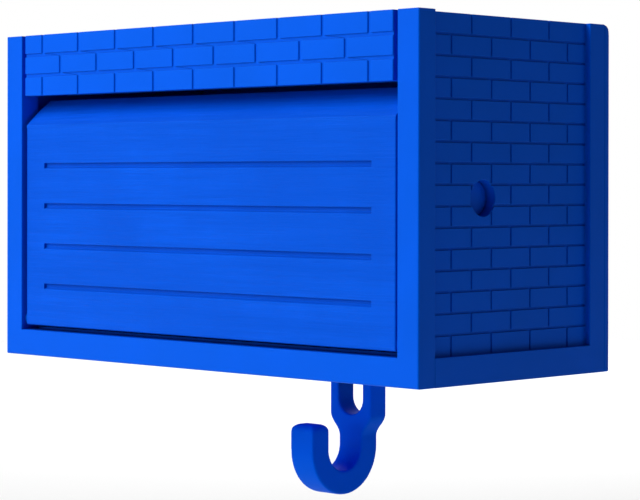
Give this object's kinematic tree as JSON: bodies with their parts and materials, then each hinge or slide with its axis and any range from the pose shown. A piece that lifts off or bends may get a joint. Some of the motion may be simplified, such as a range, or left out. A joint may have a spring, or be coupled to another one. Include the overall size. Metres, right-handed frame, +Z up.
{
  "type": "wall post box with bag hook",
  "caption": "Wall-hung post box with brick-pattern walls, a letter slot, a drop-front grooved door, an inner rain flap, a push bolt and a swinging hook below.",
  "frame": {"origin": "centre of the four wall holes, on the back plate's rear face", "axes": "+X to the right seen from the front, -Y out of the wall towards the front face, +Z up"},
  "size_m": [0.4, 0.186, 0.3224],
  "materials": {
    "case_plastic": "blue moulded plastic, fine satin grain",
    "door_plastic": "blue moulded plastic, brushed across",
    "hook_plastic": "blue moulded plastic, smooth satin",
    "button_plastic": "blue moulded plastic, smooth satin",
    "inner_plastic": "dark blue moulded plastic, satin",
    "white_nylon": "natural nylon, machined",
    "black_rubber": "moulded rubber",
    "magnet_ferrite": "dark sintered ferrite",
    "steel_rod": "drawn stainless steel",
    "spring_steel": "wound spring wire",
    "zinc_plate": "bright zinc-plated sheet steel",
    "zinc_screws": "zinc-plated screw steel"
  },
  "bodies": {
    "case": {"front_frame": "case_plastic", "header_panel": "case_plastic", "header_screws": "zinc_screws", "side_panel_left": "case_plastic", "side_panel_right": "case_plastic", "frame_screws": "zinc_screws", "back_plate": "case_plastic", "back_screws": "zinc_screws", "roof_panel": "case_plastic", "roof_screws": "zinc_screws", "floor_pan": "case_plastic", "floor_screws": "zinc_screws", "flap_rod": "steel_rod", "hinge_bushes": "white_nylon", "catch_magnets": "magnet_ferrite", "door_bumpers": "black_rubber", "bolt_spring": "spring_steel", "bolt_housing": "white_nylon", "housing_screws": "zinc_screws", "hook_bracket": "zinc_plate", "bracket_screws": "zinc_screws", "bracket_nuts": "zinc_screws", "hook_bush": "white_nylon", "hook_bolt": "steel_rod", "hook_washers": "steel_rod", "hook_nut": "steel_rod"},
    "door": {"door_panel": "door_plastic", "hinge_pins": "steel_rod", "catch_plates": "steel_rod", "bolt_strike": "zinc_plate", "strike_screws": "zinc_screws"},
    "flap": {"rain_flap": "inner_plastic"},
    "bolt": {"push_bolt": "button_plastic"},
    "hook": {"hook": "hook_plastic"}
  },
  "joints": [
    {"name": "door_drop", "type": "hinge", "parent": "case", "child": "door", "pos_m": [0, -0.178, -0.088], "axis": [1, 0, 0], "range_deg": [0, 100]},
    {"name": "flap_swing", "type": "hinge", "parent": "case", "child": "flap", "pos_m": [0, -0.154, 0.097], "axis": [1, 0, 0], "range_deg": [0, 80]},
    {"name": "bolt_push", "type": "slide", "parent": "case", "child": "bolt", "axis": [-1, 0, 0], "range_m": [0, 0.006], "stiffness_N_per_m": 250, "springref_m": -0.003, "deforming": ["bolt_spring"]},
    {"name": "hook_swing", "type": "hinge", "parent": "case", "child": "hook", "pos_m": [0, -0.0281, -0.1206], "axis": [0, 1, 0], "range_deg": [-80, 80]}
  ]
}
